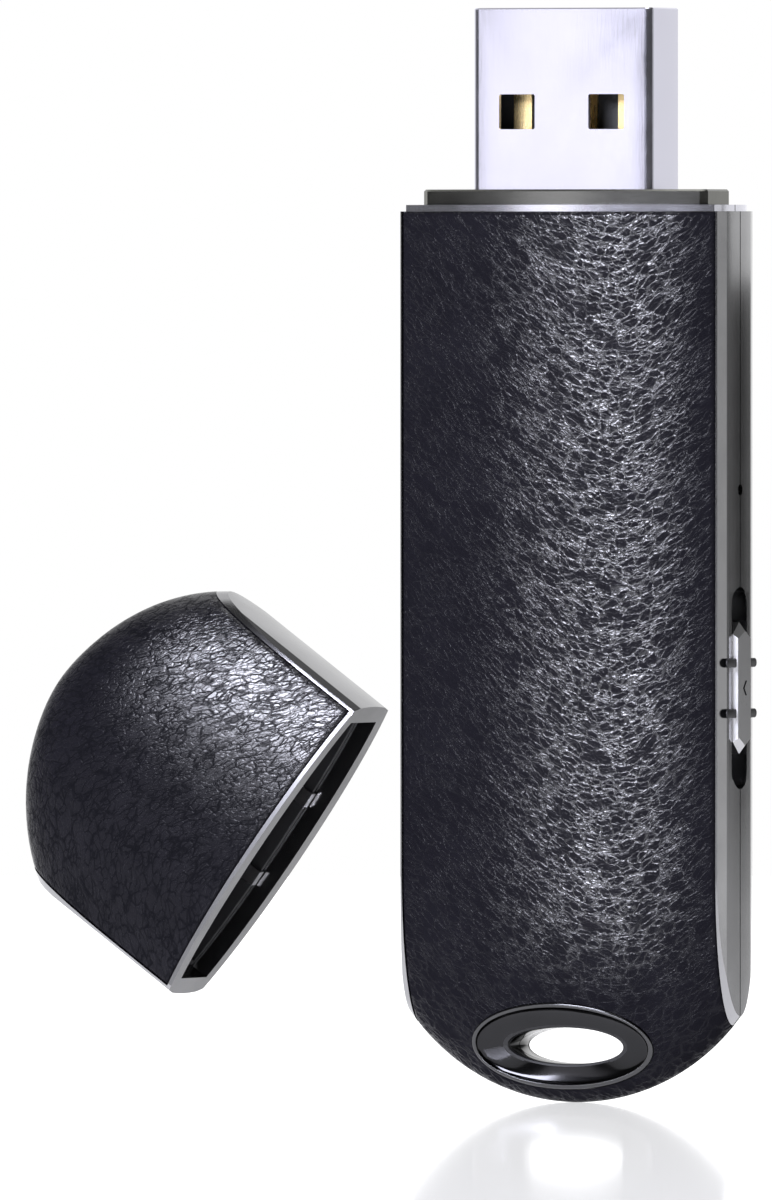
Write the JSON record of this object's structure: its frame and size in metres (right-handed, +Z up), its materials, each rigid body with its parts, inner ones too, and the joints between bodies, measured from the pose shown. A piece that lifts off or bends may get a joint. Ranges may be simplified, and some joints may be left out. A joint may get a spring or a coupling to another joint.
{
  "type": "usb flash drive",
  "caption": "Flat capsule-shaped flash drive with leather faces, a metal side band with a slide switch, a lanyard hole and a pull-off cap that lies off at its left.",
  "frame": {"origin": "under the middle of drive and cap together, at the lowest point of the drive's round end", "axes": "+Z up, from the drive's round end to its plug; +X across the faces, towards the side with the switch; -Y out of the front face"},
  "size_m": [0.049, 0.0084, 0.0673],
  "materials": {
    "frame_metal": "gunmetal, polished",
    "dark_metal": "dark chrome",
    "leather": "black grained leather, semi-gloss",
    "plug_steel": "bright nickel-plated steel",
    "contact_gold": "gold-plated",
    "black_plastic": "matt black",
    "knob_metal": "metal-look plating",
    "board": "green solder mask",
    "chip": "moulded black",
    "foil": "bare aluminium",
    "capacitor": "ceramic",
    "red_wire": "insulation"
  },
  "bodies": {
    "drive": {"front_frame": "frame_metal", "back_frame": "frame_metal", "front_leather": "leather", "back_leather": "leather", "front_lanyard_ring": "dark_metal", "back_lanyard_ring": "dark_metal", "collar": "dark_metal", "plug_shell": "plug_steel", "plug_insulator": "black_plastic", "contact_power": "contact_gold", "contact_data_minus": "contact_gold", "contact_data_plus": "contact_gold", "contact_ground": "contact_gold", "main_board": "board", "controller_chip": "chip", "audio_chip": "chip", "regulator": "chip", "crystal": "foil", "flash_chip": "chip", "capacitor_1": "capacitor", "capacitor_2": "capacitor", "capacitor_3": "capacitor", "battery": "foil", "battery_lead_positive": "red_wire", "battery_lead_negative": "black_plastic", "microphone": "foil", "switch_housing": "black_plastic"},
    "slide_switch": {"slide_knob": "knob_metal", "slide_backing_plate": "black_plastic", "switch_actuator": "black_plastic"},
    "cap": {"cap_frame": "frame_metal", "cap_liner": "black_plastic", "cap_front_leather": "leather", "cap_back_leather": "leather", "cap_grip_left": "plug_steel", "cap_grip_right": "plug_steel"}
  },
  "joints": [
    {"name": "switch_slide", "type": "slide", "parent": "drive", "child": "slide_switch", "axis": [0, 0, 1], "range_m": [-0.002, 0.002]},
    {"name": "cap_pull", "type": "slide", "parent": "drive", "child": "cap", "axis": [-0.809, 0, 0.5878], "range_m": [0, 0.014]}
  ]
}
